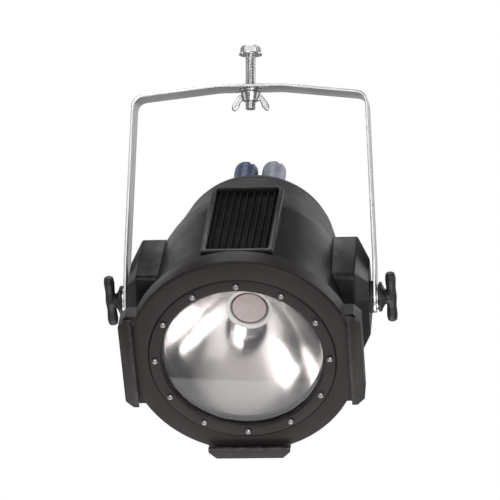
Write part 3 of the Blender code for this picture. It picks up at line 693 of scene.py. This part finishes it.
def build_pivots():
    """Boss, friction washer and stud on the head; washer and T-handled knob outside the yoke."""
    for side, place in PIVOTS.items():
        body = "head"
        piece(f"boss_{side}", boss_shape(side), place, body, [f"pivot_boss_{side}"], BLACK)
        friction = turned(ring_profile(112.3 * MM, 2.4 * MM, 4.6 * MM, 15 * MM, 0.5 * MM), "X", MEDIUM)
        piece(f"friction_{side}", friction, place, body, [f"friction_washer_{side}"], RUBBER)
        stud = threaded(125 * MM, 95 * MM, STUD_R, STUD_PITCH, STUD_THREAD, "X", SMALL, 0.6 * MM)
        piece(f"stud_{side}", stud, place, body, [f"knob_stud_{side}"], STEEL)
        body = f"knob_washer_{side}"
        washer = turned(ring_profile(118.3 * MM, 1.5 * MM, 4.5 * MM, 12 * MM, 0.3 * MM), "X", MEDIUM)
        piece(f"washer_{side}", washer, place, body, [f"knob_washer_{side}"], STEEL)
        piece(f"t_knob_{side}", knob_shape(), place, f"knob_{side}", [f"knob_{side}"], PLASTIC)


def boss_shape(side):
    """Eight-sided boss that tapers to its outer face, hollowed where it sits on the shell."""
    outline = rounded(
        mm(
            (-34, -47, 7), (34, -47, 7), (41, -22, 10), (41, 22, 10), (34, 47, 7), (-34, 47, 7),
            (-41, 22, 10), (-41, -22, 10),
        ),
        steps=5,
    )
    reach = 47 * MM
    slope = rounded(
        [(72 * MM, reach), (101 * MM, reach, 3 * MM), (BOSS_FACE, reach * 0.62, 2.2 * MM), (BOSS_FACE, 0)],
        closed=False,
        steps=5,
    )[:-1]
    boss = loft([[Vector((x, p.x * r / reach, p.y * r / reach)) for p in outline] for x, r in slope])
    sense = 1 if side == "right" else -1
    places = [i * 4 * MM for i in range(13, 37)]
    profile = [(sense * (s - PIVOT_S), shell_r(s) + GAP) for s in places]
    boss = cut(boss, turned([(profile[0][0], 0)] + profile + [(profile[-1][0], 0)], "Y", ROUND))
    return cut(boss, drill(90 * MM, BOSS_FACE + 2 * MM, STUD_BORE_R, "X"))


def knob_shape():
    """T-handled knob moulded in one: a flange with a rim, a waist and a bar with thicker ends."""
    x = 120.1  # the flange's face against the washer, in millimetres
    hub = mm(
        (x, 0), (x, 14, 0.6), (x + 2.6, 14, 0.9), (x + 3.6, 11, 2), (x + 5.5, 7.6, 3), (x + 8, 6, 3),
        (x + 12, 5.6, 1), (x + 12, 0),
    )
    knob = turned(rounded(hub, closed=False), "X", MEDIUM)
    profile = mm(
        (-26, 0), (-26, 4.4, 2.2), (-20, 5.1, 6), (-10, 4.5, 8), (0, 5.2, 8), (10, 4.5, 8), (20, 5.1, 6),
        (26, 4.4, 2.2), (26, 0),
    )
    handle = turned(rounded(profile, closed=False), "Z", 40)
    knob = together(knob, moved(handle, Matrix.Translation(((x + 11.5) * MM, 0, 0))))
    knob = fused(knob, 0.42 * MM, 6)
    return cut(knob, drill((x - 1) * MM, (x + 5.6) * MM, STUD_BORE_R, "X", SMALL))


# --------------------------------------------------------------------------- front ring, glass and optics


def screw_places():
    turns = [2 * math.pi / SCREW_COUNT * i for i in range(SCREW_COUNT)]
    return [(SCREW_CIRCLE_R * math.sin(turn), SCREW_CIRCLE_R * math.cos(turn)) for turn in turns]


def screw_holes(start, end):
    return together(*[prism(circle(SCREW_BORE_R, 20, place), start, end) for place in screw_places()])


def lug_shape(reach, half, turn):
    """Lug with rounded edges, bevelled outer corners and the channel along its front."""
    outline = rounded(
        mm(
            (-half, 60), (half, 60), (half, reach - 7, 2), (half - 7, reach, 2), (7 - half, reach, 2),
            (-half, reach - 7, 2),
        )
    )
    lug = prism(outline, -6.5 * MM, 17 * MM, "Y", 0.8 * MM)
    width = (half + 5) * MM
    under_lip = (-4.3, 55), (0.4, 55), (0.4, 105.4), (-4.3, 105.4)
    opening = (-9, 55), (-2, 55), (-2, reach - 12), (-9, reach - 12)
    for section in (under_lip, opening):
        channel = rounded(mm(*[(s, r, 0.4) for s, r in section]), steps=2)
        lug = cut(lug, prism(channel, -width, width, "X"))
    lug = cut(lug, drill(0, 20 * MM, 97 * MM, "Y", ROUND))
    return moved(lug, Matrix.Rotation(turn, 4, "Y"))


# Reach from the axis and half the width, in millimetres, and the turn about the axis
LUGS = ((110, 48, -math.pi / 2), (110, 48, math.pi / 2), (107.5, 38, math.pi))


def build_front():
    """Ring with its lugs, the retainer and its screws, the glass and its gasket."""
    ring = mm(
        (0, 86, 0.5), (0, 103, 1.4), (2, 105, 1.4), (20, 105, 1), (20, 92, 1), (14, 92, 1), (14, 73, 0.5),
        (9.7, 73, 0.5), (9.7, 77.5, 0.25), (3.3, 77.5, 0.25), (3.3, 86, 0.25),
    )
    bezel = turned(rounded(ring))
    for reach, half, turn in LUGS:
        bezel = join(bezel, lug_shape(reach, half, turn))
    bezel = cut(bezel, screw_holes(2 * MM, 12.5 * MM))
    piece("bezel_ring", bezel, LAMP, "head", ["front_bezel"], RING_BLACK)

    plate = mm((-1, 75.5, 0.5), (-1, 84.7, 0.5), (0, 85.7, 0.3), (3, 85.7, 0.2), (3, 74, 0.2), (0.5, 74, 0.4))
    retainer = cut(turned(rounded(plate)), screw_holes(-3 * MM, 5 * MM))
    piece("retainer_ring", retainer, LAMP, "head", ["glass_retainer"], RING_BLACK)

    screw = screw_shape()
    for number, (x, z) in enumerate(screw_places(), 1):
        spin = Matrix.Rotation(number * 2.4, 4, "Y")  # no two recesses stand alike
        place = LAMP @ Matrix.Translation((x, 0, z)) @ spin
        name = f"screw_{number:02d}"
        piece(name, screw.copy(), place, "head", [f"retainer_{name}"], SCREW_STEEL)
    screw.free()

    glass = rounded(mm((3.3, 0), (3.3, 77.2, 0.5), (7.3, 77.2, 0.5), (7.3, 0)), closed=False)
    piece("glass_pane", turned(glass), LAMP, "head", ["lens_glass"], GLASS)
    gasket = turned(ring_profile(7.6 * MM, 1.8 * MM, 73.3 * MM, 77.2 * MM, 0.5 * MM))
    piece("gasket_ring", gasket, LAMP, "head", ["lens_gasket"], RUBBER)


def screw_shape():
    """Pan-head screw with a cross recess, its head facing forwards."""
    body = mm(
        (11.5, 0), (11.5, 1.3, 0.3), (-1.3, 1.5), (-1.3, 2.8, 0.2), (-2.3, 2.7, 0.6), (-3.2, 1.7, 0.9),
        (-3.3, 0),
    )
    screw = turned(rounded(body, closed=False), "Y", SMALL)
    for half_a, half_b in ((1.5 * MM, 0.32 * MM), (0.32 * MM, 1.5 * MM)):
        screw = cut(screw, prism(box_outline(half_a, half_b), -4 * MM, -2.2 * MM))
    return screw


def reflector_r(s):
    """Inner radius of the bowl, a parabola from its mouth to its neck."""
    slope = (BOWL_MOUTH_R**2 - BOWL_NECK_R**2) / (BOWL_REAR - BOWL_FRONT)
    return math.sqrt(BOWL_NECK_R**2 + slope * max(0.0, BOWL_REAR - s))


def build_optics():
    """Bowl with its collar, the emitter and the ring round it."""
    steps = 60
    places = [BOWL_FRONT + (BOWL_REAR - BOWL_FRONT) * (i / steps) for i in range(steps + 1)]
    inside = [(s, reflector_r(s)) for s in places]
    outside = [(s, reflector_r(s) + BOWL_WALL) for s in places[::2] if s > 18 * MM]
    collar = [(BOWL_FRONT, 72.6 * MM), (14.3 * MM, 72.6 * MM), (14.3 * MM, 88 * MM), (15.8 * MM, 88 * MM)]
    bowl = turned(inside + outside[::-1] + collar[::-1])
    piece("reflector_bowl", bowl, LAMP, "head", ["reflector"], MIRROR)

    resin = rounded(
        [(83.1 * MM, 0), (83.1 * MM, DAM_R, 0.3 * MM), (83.9 * MM, COB_R), (83.9 * MM, 0)], closed=False
    )
    piece("cob_disc", turned(resin, "Y", MEDIUM), LAMP, "head", ["cob_phosphor"], PHOSPHOR)
    holder = mm((81, 18.7, 0.5), (81, 24, 0.8), (83.9, 24, 0.2), (83.9, 17.8, 0.1), (83, 17.8, 0.2))
    piece("holder_ring", turned(rounded(holder), "Y", MEDIUM), LAMP, "head", ["cob_holder"], WHITE)


# --------------------------------------------------------------------------- housing

# The raised frame on top, at its front and at its rear, as (s, half width, foot height, top height)
FRAME_ENDS = ((FRAME_FRONT, 33 * MM, 80 * MM, 102 * MM), (FRAME_REAR, 34 * MM, 69 * MM, 88.5 * MM))


def frame_at(s):
    """Half width, foot height and top height of the frame at s."""
    (s0, *first), (s1, *last) = FRAME_ENDS
    share = (s - s0) / (s1 - s0)
    return [a + (b - a) * share for a, b in zip(first, last)]


def frame_outline(start, end, inset, front_radius, rear_radius):
    front, rear = frame_at(start)[0] - inset, frame_at(end)[0] - inset
    corners = [
        (-front, start, front_radius), (front, start, front_radius), (rear, end, rear_radius),
        (-rear, end, rear_radius),
    ]
    return rounded(corners, steps=8)


def standing(outline, levels):
    """A solid on a plan outline in (x, s). A level is (height above the frame's sloping top, inset)."""
    rings = []
    for height, inset in levels:
        rings.append([Vector((p.x, p.y, frame_at(p.y)[2] + height)) for p in offset(outline, inset)])
    return loft(rings)


def shell_profile():
    """Outside of the shell with its kinks eased, as (s, r)."""
    points = rounded([(s * MM, r * MM, ease * MM) for s, r, ease in SHELL], closed=False, steps=6)
    return subdivided(points, 4 * MM)


def radius_on(profile, s):
    for a, b in zip(profile, profile[1:]):
        if a.x <= s <= b.x:
            return a.y + (b.y - a.y) * (s - a.x) / max(b.x - a.x, 1e-9)
    return profile[-1].y


def build_housing():
    """Shell with its raised frame and vent slots, the fin panel in the frame, and the rear end."""
    whole = shell_profile()
    outside = [p for p in whole if p.x < SHELL_END - 0.5 * MM]
    outside.append(Vector((SHELL_END - 0.35 * MM, radius_on(whole, SHELL_END) - 0.02 * MM)))
    outside.append(Vector((SHELL_END, radius_on(whole, SHELL_END) - 0.4 * MM)))
    inner_places = (32.5 * MM, 60 * MM, 126 * MM, 141 * MM, 165 * MM, SHELL_END)
    inside = [Vector((s, shell_r(s) - 3 * MM)) for s in inner_places]
    shell = turned(outside + inside[::-1] + [Vector((20.3 * MM, 90 * MM))])
    top = mm((-24, 0), (-1.5, 0), (-0.8, 0.2), (-0.3, 0.6), (0, 1.4))
    shell = join(shell, standing(frame_outline(FRAME_FRONT, FRAME_REAR, 0, 2 * MM, 9 * MM), top))
    opening = mm((-37, 0), (-1.3, 0), (-0.6, -0.25), (-0.2, -0.7), (0.05, -1.4), (12, -1.4))
    window = frame_outline(WINDOW_FRONT, WINDOW_REAR, FRAME_WALL, 0.6 * MM, 5 * MM)
    shell = cut(shell, standing(window, opening))
    for turn in (-24, -12, 0, 12, 24):
        slot = prism(box_outline(1.8 * MM, 14 * MM, 1.7 * MM, (0, 166 * MM)), -95 * MM, -60 * MM, "Z")
        shell = cut(shell, moved(slot, Matrix.Rotation(math.radians(turn), 4, "Y")))
    piece("housing_shell", shell, LAMP, "head", ["main_housing"], BLACK)
    build_fins()

    start = SHELL_END + GAP
    edge = radius_on(whole, start)
    outer = [Vector((start, edge - 0.4 * MM)), Vector((start + 0.35 * MM, edge))]
    outer += [p for p in whole if p.x > start + 0.6 * MM]
    lip = rounded(
        [
            (REAR_FACE, 63.4 * MM), (REAR_FACE, 57.3 * MM, 0.5 * MM), (208.7 * MM, 57.3 * MM),
            (208.7 * MM, 54 * MM), (206 * MM, 54 * MM), (206 * MM, 61 * MM, MM), (start, 70.5 * MM),
        ],
        closed=False,
    )
    piece("rear_shell", turned(outer + lip), LAMP, "head", ["rear_housing"], BLACK)


def build_fins():
    """Cast panel with nine fins whose tips are rounded."""
    fins, share = 9, 0.3  # share of the pitch that a fin takes up
    rings = []
    for s, chamfer in ((30.3 * MM, 0.5 * MM), (31 * MM, 0), (150 * MM, 0), (150.7 * MM, 0.5 * MM)):
        half, _, top = frame_at(s)
        half, low, high = half - FRAME_WALL - GAP, top - 9 * MM, top - 2 * MM - chamfer
        floor = low + 4 * MM
        pitch = 2 * half / fins
        comb = [(-half, low), (half, low), (half, floor)]
        for i in reversed(range(fins)):
            centre = -half + pitch * (i + 0.5)
            edge = pitch * share / 2
            comb += [
                (centre + edge, floor, 0.8 * MM), (centre + edge * 0.8, high, 0.8 * MM),
                (centre - edge * 0.8, high, 0.8 * MM), (centre - edge, floor, 0.8 * MM),
            ]
        comb.append((-half, floor))
        rings.append([Vector((p.x, s, p.y)) for p in rounded(comb, steps=3)])
    piece("fin_panel", loft(rings), LAMP, "head", ["top_fin_panel"], FIN_BLACK)


# --------------------------------------------------------------------------- rear panel

CONNECTORS = {  # x, z, length, look and slot
    "power_inlet": (-13.5 * MM, 40.5 * MM, 48 * MM, BLUE, "blue_plastic"),
    "power_outlet": (13.5 * MM, 40.5 * MM, 48 * MM, GREY, "grey_plastic"),
    "dmx_inlet": (-14 * MM, 13.5 * MM, 5 * MM, PLASTIC, "black_plastic"),
    "dmx_outlet": (14 * MM, 13.5 * MM, 5 * MM, PLASTIC, "black_plastic"),
}
BUTTON_X = (-18 * MM, -6 * MM, 6 * MM, 18 * MM)
BUTTON_Z = -28 * MM
DISPLAY_Z = -9.5 * MM
EYELET_Z = -45 * MM


def build_rear_panel():
    """Round plate with the connectors, the menu and the eyelet."""
    low, high = REAR_FACE - 3 * MM, REAR_FACE
    panel = turned(
        rounded(
            [(low, 0), (low, 57 * MM, 0.3 * MM), (high, 57 * MM, 0.7 * MM), (high, 56 * MM), (high, 0)],
            closed=False,
        )
    )
    holes = [prism(circle(11.3 * MM, 40, (x, z)), low - MM, high + MM) for x, z, *_ in CONNECTORS.values()]
    holes += [prism(circle(3.9 * MM, 24, (x, BUTTON_Z)), low - MM, high + MM) for x in BUTTON_X]
    holes.append(prism(box_outline(19 * MM, 6 * MM, MM, (0, DISPLAY_Z)), low - MM, high + MM))
    holes.append(prism(circle(2.8 * MM, 24, (0, EYELET_Z)), low - MM, high + MM))
    piece("rear_plate", cut(panel, together(*holes)), LAMP, "head", ["rear_panel"], BLACK)

    outer = high + GAP
    for name, (x, z, length, look, slot) in CONNECTORS.items():
        power = name.startswith("power")
        shape = power_connector(outer, length) if power else data_connector(outer, length, name)
        place = LAMP @ Matrix.Translation((x, 0, z))
        piece(f"{name}_fine", shape, place, "head", [name], look)

    middle = (0, DISPLAY_Z)
    window = prism(box_outline(22 * MM, 8.5 * MM, 1.5 * MM, middle), outer, outer + 1.6 * MM, "Y", 0.5 * MM)
    stem = prism(box_outline(18.5 * MM, 5.5 * MM, 0.5 * MM, middle), 203 * MM, outer + 0.8 * MM)
    recess = prism(box_outline(18 * MM, 5.6 * MM, 0.8 * MM, middle), outer + 1.1 * MM, outer + 3 * MM)
    display = cut(join(window, stem), recess)
    piece("menu_display", display, LAMP, "head", ["display_module"], SCREEN)

    stop = low - GAP
    cap = rounded(
        [
            (stop - 6 * MM, 0), (stop - 6 * MM, 1.5 * MM, 0.3 * MM), (stop - 1.5 * MM, 1.5 * MM),
            (stop - 1.5 * MM, 4.6 * MM, 0.2 * MM), (stop, 4.6 * MM, 0.2 * MM), (stop, 3.5 * MM),
            (high + 2.9 * MM, 3.5 * MM, 0.7 * MM), (high + 3.2 * MM, 1.8 * MM, MM), (high + 3.0 * MM, 0),
        ],
        closed=False,
    )
    for number, x in enumerate(BUTTON_X, 1):
        name = f"menu_button_{number}"
        place = LAMP @ Matrix.Translation((x, 0, BUTTON_Z))
        piece(f"button_cap_{number}", turned(cap, "Y", SMALL), place, name, [name], GREY)
    build_eyelet(outer)


def power_connector(outer, length):
    """Locking power connector: a flange, a ribbed barrel and a keyed face."""
    end = outer + length
    profile = [(201 * MM, 0), (201 * MM, 11 * MM, 0.4 * MM), (outer, 11 * MM), (outer, 12.6 * MM, 0.4 * MM)]
    profile += [(outer + 2.5 * MM, 12.6 * MM, 0.8 * MM), (outer + 3.2 * MM, 11.2 * MM, 0.4 * MM)]
    for k in range(4):
        near = outer + (6 + 3.2 * k) * MM
        profile += [
            (near, 11.3 * MM, 0.3 * MM), (near + 0.5 * MM, 11.8 * MM, 0.3 * MM),
            (near + 1.6 * MM, 11.8 * MM, 0.3 * MM), (near + 2.1 * MM, 11.3 * MM, 0.3 * MM),
        ]
    profile += [
        (end - 9 * MM, 11.3 * MM, 0.5 * MM), (end - 8.4 * MM, 11.6 * MM, 0.5 * MM), (end, 11.4 * MM, 1.6 * MM),
        (end, 9.2 * MM, 0.6 * MM), (end - 3.4 * MM, 9.2 * MM, 0.3 * MM), (end - 3.4 * MM, 6.6 * MM, 0.3 * MM),
        (end - 1.2 * MM, 6.4 * MM, 0.5 * MM), (end - 1.2 * MM, 0),
    ]
    shape = turned(rounded(profile, closed=False, steps=3), "Y", MEDIUM)
    keys = []
    for turn in (90, 210, 330):
        key = prism(box_outline(0.9 * MM, 2.2 * MM, 0.4 * MM, (0, 3.6 * MM)), end - 3 * MM, end + MM)
        keys.append(moved(key, Matrix.Rotation(math.radians(turn), 4, "Y")))
    for turn in (30, 150, 270):
        notch = prism(box_outline(1.6 * MM, 1.6 * MM, 0.5 * MM, (0, 10.2 * MM)), end - 2.6 * MM, end + MM)
        keys.append(moved(notch, Matrix.Rotation(math.radians(turn), 4, "Y")))
    return cut(shape, together(*keys))


def data_connector(outer, length, name):
    """Round data socket: the outlet has three holes, the inlet a deep cup with three pins."""
    end = outer + length
    face = end - 3.4 * MM if name.endswith("inlet") else end - 0.9 * MM
    profile = [
        (201 * MM, 0), (201 * MM, 11 * MM, 0.4 * MM), (outer, 11 * MM), (outer, 12.6 * MM, 0.4 * MM),
        (outer + 2.5 * MM, 12.6 * MM, 0.8 * MM), (outer + 3 * MM, 11.8 * MM, 0.4 * MM),
        (end, 11.4 * MM, 0.6 * MM), (end, 9.2 * MM, 0.5 * MM), (face, 9.2 * MM, 0.2 * MM), (face, 0),
    ]
    shape = turned(rounded(profile, closed=False, steps=3), "Y", MEDIUM)
    spots = [(4.4 * MM * math.sin(a), 4.4 * MM * math.cos(a)) for a in (math.pi / 2, math.pi, -math.pi / 2)]
    if name.endswith("outlet"):
        holes = [prism(circle(1.3 * MM, 16, spot), face - 2 * MM, face + MM) for spot in spots]
        return cut(shape, together(*holes))
    pin = rounded(
        [(face - MM, 0), (face - MM, 1.1 * MM), (end - 0.8 * MM, 1.1 * MM, 0.5 * MM), (end - 0.4 * MM, 0)],
        closed=False,
    )
    for x, z in spots:
        shape = join(shape, moved(turned(pin, "Y", 16), Matrix.Translation((x, 0, z))))
    return shape


def build_eyelet(outer):
    """Ring bolt for the safety cable."""
    place = LAMP @ Matrix.Translation((0, 0, EYELET_Z))
    stem = rounded(
        [
            (202 * MM, 0), (202 * MM, 2.4 * MM, 0.4 * MM), (outer, 2.4 * MM), (outer, 5 * MM, 0.4 * MM),
            (outer + 2 * MM, 5 * MM, 0.6 * MM), (outer + 3 * MM, 2.6 * MM, 0.8 * MM),
            (outer + 5 * MM, 2.4 * MM), (outer + 5 * MM, 0),
        ],
        closed=False,
    )
    centre, radius, wire = outer + 11 * MM, 7.2 * MM, 2 * MM
    section = [2 * math.pi * i / 20 for i in range(20)]
    ring = turned([(wire * math.sin(a), radius + wire * math.cos(a)) for a in section], "X", MEDIUM)
    shape = together(turned(stem, "Y", 40), moved(ring, Matrix.Translation((0, centre, 0))))
    piece("eyelet_ring", fused(shape, 0.3 * MM, 4), place, "head", ["safety_eyelet"], STEEL)


# --------------------------------------------------------------------------- studio


WHITE_LIGHT = (1, 1, 1, 1)
WORLD_SEEN = 1.0  # of the backdrop that the camera sees
WORLD_FRONT, WORLD_BACK = 0.13, 0.45  # of the light from before and from behind the lamp
FLOOR_Z, FLOOR_REACH = -1.4, 9.0
AIM, AIM_BELOW = (0, 0, -0.19), (0, -0.05, -0.2)
LIGHTS = (  # name, place, target, size, watts
    ("key", (-0.7, -1.7, 1.0), AIM, (1.1, 0.9), 10),
    ("front_high", (0, -3.3, 0.35), AIM, (3.0, 1.1), 9.5),
    ("front_fill", (1.0, -2.6, -0.75), AIM, (1.2, 1.2), 32),
    ("overhead", (-0.13, 0.36, 1.1), AIM, (0.5, 0.5), 3),
    ("right_strip", (1.25, 0.25, 0.1), AIM, (0.5, 1.5), 4.5),
    ("left_strip", (-1.35, -0.1, 0.0), AIM, (0.45, 1.4), 4),
    ("right_softbox", (0.85, 1.0, 0.7), AIM, (0.7, 0.7), 2.5),
    ("left_softbox", (-0.9, 1.0, 0.7), AIM, (0.6, 0.6), 0.8),
    ("low_front", (0.15, -1.4, -1.1), AIM, (1.6, 0.9), 2.5),
    ("below", (0, 0.15, -1.3), AIM_BELOW, (1.5, 0.8), 9),
)
CAMERA_AZIMUTH, CAMERA_ELEVATION = math.radians(6), math.radians(-9)
CAMERA_DISTANCE, LENS, SENSOR = 3.05, 235, 36


def aimed(name, data, place, direction):
    """A light or the camera, set in the scene to look along a direction."""
    obj = bpy.data.objects.new(name, data)
    bpy.context.scene.collection.objects.link(obj)
    obj.location = place
    obj.rotation_mode = "QUATERNION"
    obj.rotation_quaternion = direction.to_track_quat("-Z", "Y")
    return obj


def build_lights():
    for name, place, target, size, watts in LIGHTS:
        data = bpy.data.lights.new(name, "AREA")
        data.shape = "RECTANGLE"
        data.size, data.size_y = size
        data.energy = watts
        aimed(name, data, place, Vector(target) - Vector(place))


def build_floor():
    corners = [(-1, -1), (1, -1), (1, 1), (-1, 1)]
    bm = bmesh.new()
    bm.faces.new([bm.verts.new((FLOOR_REACH * x, FLOOR_REACH * y, FLOOR_Z)) for x, y in corners])
    mesh = bpy.data.meshes.new("floor")
    bm.to_mesh(mesh)
    bm.free()
    look = Look("studio_floor", (0.86, 0.86, 0.86), 0.6)
    look.link(look.ranged(look.noise(3, 3), 0.3, 0.7, 0.55, 0.68), "Roughness")
    mesh.materials.append(look.made)
    floor = bpy.data.objects.new("floor", mesh)
    bpy.context.scene.collection.objects.link(floor)


def build_world():
    """A white backdrop for the camera. Everything else sees a dim room that is brighter behind the lamp."""
    world = bpy.data.worlds.new("studio")
    bpy.context.scene.world = world
    world.use_nodes = True
    tree = world.node_tree
    tree.nodes.clear()
    out = tree.nodes.new("ShaderNodeOutputWorld")
    mix = tree.nodes.new("ShaderNodeMixShader")
    seen = tree.nodes.new("ShaderNodeBackground")
    seen.inputs["Strength"].default_value = WORLD_SEEN
    lit = tree.nodes.new("ShaderNodeBackground")
    for background in (seen, lit):
        background.inputs["Color"].default_value = WHITE_LIGHT
    direction = tree.nodes.new("ShaderNodeTexCoord")
    split = tree.nodes.new("ShaderNodeSeparateXYZ")
    tree.links.new(direction.outputs["Generated"], split.inputs[0])
    behind = tree.nodes.new("ShaderNodeMapRange")
    span = {"From Min": 0.0, "From Max": 0.8, "To Min": WORLD_FRONT, "To Max": WORLD_BACK}
    for socket, value in span.items():
        behind.inputs[socket].default_value = value
    tree.links.new(split.outputs["Y"], behind.inputs["Value"])
    tree.links.new(behind.outputs[0], lit.inputs["Strength"])
    path = tree.nodes.new("ShaderNodeLightPath")
    tree.links.new(path.outputs["Is Camera Ray"], mix.inputs[0])
    tree.links.new(lit.outputs[0], mix.inputs[1])
    tree.links.new(seen.outputs[0], mix.inputs[2])
    tree.links.new(mix.outputs[0], out.inputs[0])


def build_camera():
    level = math.cos(CAMERA_ELEVATION)
    back = Vector(
        (math.sin(CAMERA_AZIMUTH) * level, -math.cos(CAMERA_AZIMUTH) * level, math.sin(CAMERA_ELEVATION))
    )
    data = bpy.data.cameras.new("camera")
    data.lens, data.sensor_width = LENS, SENSOR
    data.clip_start, data.clip_end = 0.05, 60
    camera = aimed("camera", data, (cad_low + cad_high) / 2 + back * CAMERA_DISTANCE, -back)
    bpy.context.scene.camera = camera
    bpy.context.scene.view_settings.view_transform = "Standard"


def main():
    dress_cad()
    build_hanger()
    build_yoke()
    build_pivots()
    build_front()
    build_optics()
    build_housing()
    build_rear_panel()
    build_floor()
    build_world()
    build_lights()
    build_camera()


main()
